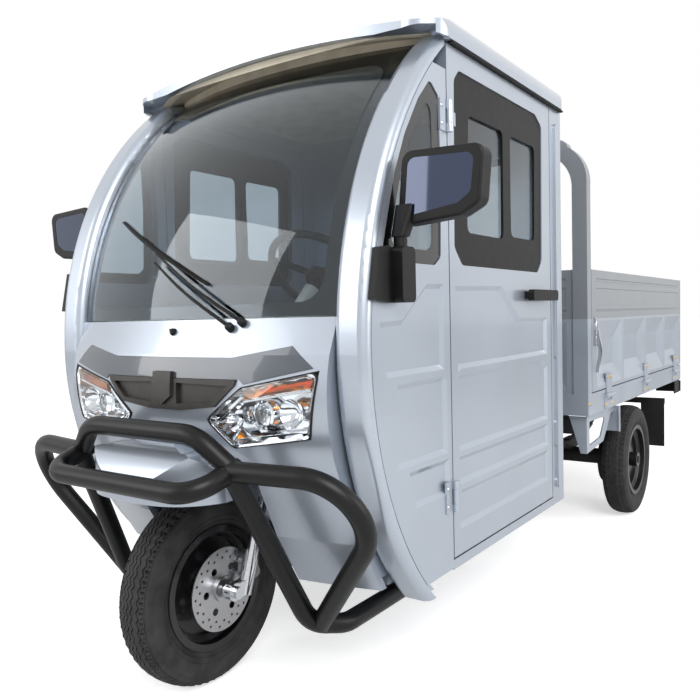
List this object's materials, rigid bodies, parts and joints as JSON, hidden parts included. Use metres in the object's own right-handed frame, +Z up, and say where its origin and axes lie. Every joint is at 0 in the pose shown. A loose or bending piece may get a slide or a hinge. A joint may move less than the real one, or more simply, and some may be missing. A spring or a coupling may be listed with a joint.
{
  "type": "electric dump tricycle",
  "caption": "Electric cargo tricycle with an enclosed cab, side doors, tube bumper and a tipping bed with drop sides.",
  "frame": {"origin": "on the ground, under the middle of the overall length and width", "axes": "+X forward, +Y to the left, +Z up"},
  "size_m": [3.7279, 1.615, 1.846],
  "materials": {
    "frame_black": "satin",
    "cab_paint": "metallic silver, gloss",
    "pillar_paint": "metallic silver, high gloss",
    "screen_glass": "clear, lightly tinted",
    "band_gloss": "gloss",
    "grille_plastic": "satin",
    "lamp_glass": "clear",
    "trim_black": "matt",
    "window_glass": "clear, tinted",
    "lining": "matt",
    "dash_plastic": "matt",
    "battery_case": "matt",
    "seat_vinyl": "vinyl",
    "tube_black": "satin powder coat",
    "fork_black": "satin",
    "tyre": "matt",
    "rim_black": "satin",
    "disc_steel": "ground",
    "alloy": "cast",
    "axle_black": "painted",
    "motor_case": "cast",
    "spring_steel": "painted",
    "frame_trim": "matt",
    "bed_paint": "metallic silver",
    "rod_chrome": "polished",
    "flap_rubber": "matt",
    "mirror_face": "polished",
    "lamp_red": "gloss"
  },
  "bodies": {
    "root": {"chassis_frame": "frame_black", "cross_members": "frame_black", "front_neck": "frame_black", "side_brackets": "bed_paint", "cab_floor": "cab_paint", "nose_panel": "cab_paint", "arch_pillars": "pillar_paint", "windscreen": "screen_glass", "front_band": "band_gloss", "grille": "grille_plastic", "headlamps": "lamp_glass", "wiper": "trim_black", "quarter_panels": "cab_paint", "quarter_glass": "window_glass", "rear_wall": "cab_paint", "rear_glass": "window_glass", "roof": "cab_paint", "visor": "lining", "dashboard": "dash_plastic", "battery_pack": "battery_case", "seat_cushion": "seat_vinyl", "seat_back": "seat_vinyl", "mirrors": "trim_black", "mirror_glass": "mirror_face", "bumper": "tube_black", "front_fender": "cab_paint", "rear_axle": "axle_black", "drive_motor": "motor_case", "leaf_springs": "spring_steel", "rear_flaps": "flap_rubber"},
    "steering": {"front_fork": "fork_black", "brake_caliper": "alloy"},
    "front_wheel": {"front_tyre": "tyre", "front_rim": "rim_black", "brake_disc": "disc_steel"},
    "hand_wheel": {"steering_wheel": "trim_black"},
    "door_left": {"door_left": "cab_paint", "door_handle_left": "trim_black", "window_frame_left": "frame_trim", "door_glass_left": "window_glass"},
    "door_right": {"door_right": "cab_paint", "door_handle_right": "trim_black", "window_frame_right": "frame_trim", "door_glass_right": "window_glass"},
    "rear_wheel_left": {"rear_tyre_left": "tyre", "rear_rim_left": "rim_black"},
    "rear_wheel_right": {"rear_tyre_right": "tyre", "rear_rim_right": "rim_black"},
    "bed": {"bed_floor": "bed_paint", "bed_rails": "bed_paint", "headboard": "bed_paint", "lamp_housings": "trim_black", "tail_lamps": "lamp_red"},
    "side_board_left": {"side_board_left": "bed_paint"},
    "side_board_right": {"side_board_right": "bed_paint"},
    "tailgate": {"tailgate": "bed_paint"},
    "lift_barrel": {"lift_barrel": "axle_black"},
    "lift_rod": {"lift_rod": "rod_chrome"}
  },
  "joints": [
    {"name": "steer", "type": "hinge", "parent": "root", "child": "steering", "pos_m": [1.504, 0, 0.2625], "axis": [-0.342, 0, 0.9397], "range_deg": [-38, 38]},
    {"name": "front_spin", "type": "hinge", "parent": "steering", "child": "front_wheel", "pos_m": [1.554, 0, 0.2625], "axis": [0, 1, 0], "continuous": true},
    {"name": "hand_turn", "type": "hinge", "parent": "root", "child": "hand_wheel", "pos_m": [0.993, 0, 1.131], "axis": [-0.7071, 0, 0.7071], "range_deg": [-270, 270]},
    {"name": "door_left_swing", "type": "hinge", "parent": "root", "child": "door_left", "pos_m": [1.176, 0.584, 0.9], "axis": [0, 0, -1], "range_deg": [0, 72]},
    {"name": "door_right_swing", "type": "hinge", "parent": "root", "child": "door_right", "pos_m": [1.176, -0.584, 0.9], "axis": [0, 0, 1], "range_deg": [0, 72]},
    {"name": "rear_left_spin", "type": "hinge", "parent": "root", "child": "rear_wheel_left", "pos_m": [-0.736, 0.54, 0.2625], "axis": [0, 1, 0], "continuous": true},
    {"name": "rear_right_spin", "type": "hinge", "parent": "root", "child": "rear_wheel_right", "pos_m": [-0.736, -0.54, 0.2625], "axis": [0, 1, 0], "continuous": true},
    {"name": "bed_tilt", "type": "hinge", "parent": "root", "child": "bed", "pos_m": [-1.746, 0, 0.54], "axis": [0, -1, 0], "range_deg": [0, 45]},
    {"name": "side_left_drop", "type": "hinge", "parent": "bed", "child": "side_board_left", "pos_m": [-0.946, 0.584, 0.622], "axis": [-1, 0, 0], "range_deg": [0, 170]},
    {"name": "side_right_drop", "type": "hinge", "parent": "bed", "child": "side_board_right", "pos_m": [-0.946, -0.584, 0.622], "axis": [1, 0, 0], "range_deg": [0, 170]},
    {"name": "tailgate_drop", "type": "hinge", "parent": "bed", "child": "tailgate", "pos_m": [-1.855, 0, 0.622], "axis": [0, -1, 0], "range_deg": [0, 170]},
    {"name": "lift_swing", "type": "hinge", "parent": "root", "child": "lift_barrel", "pos_m": [-0.361, 0, 0.425], "axis": [0, -1, 0], "range_deg": [-16.7, 0.5]},
    {"name": "lift_extend", "type": "slide", "parent": "lift_barrel", "child": "lift_rod", "axis": [-0.9827, 0, 0.1854], "range_m": [-0.002, 0.2596]}
  ],
  "couplings": [
    {"joint": "hand_turn", "follows": "steer", "ratio": 6},
    {"joint": "lift_swing", "follows": "bed_tilt", "ratio": -0.36},
    {"joint": "lift_extend", "follows": "bed_tilt", "m_per_rad": 0.328}
  ]
}
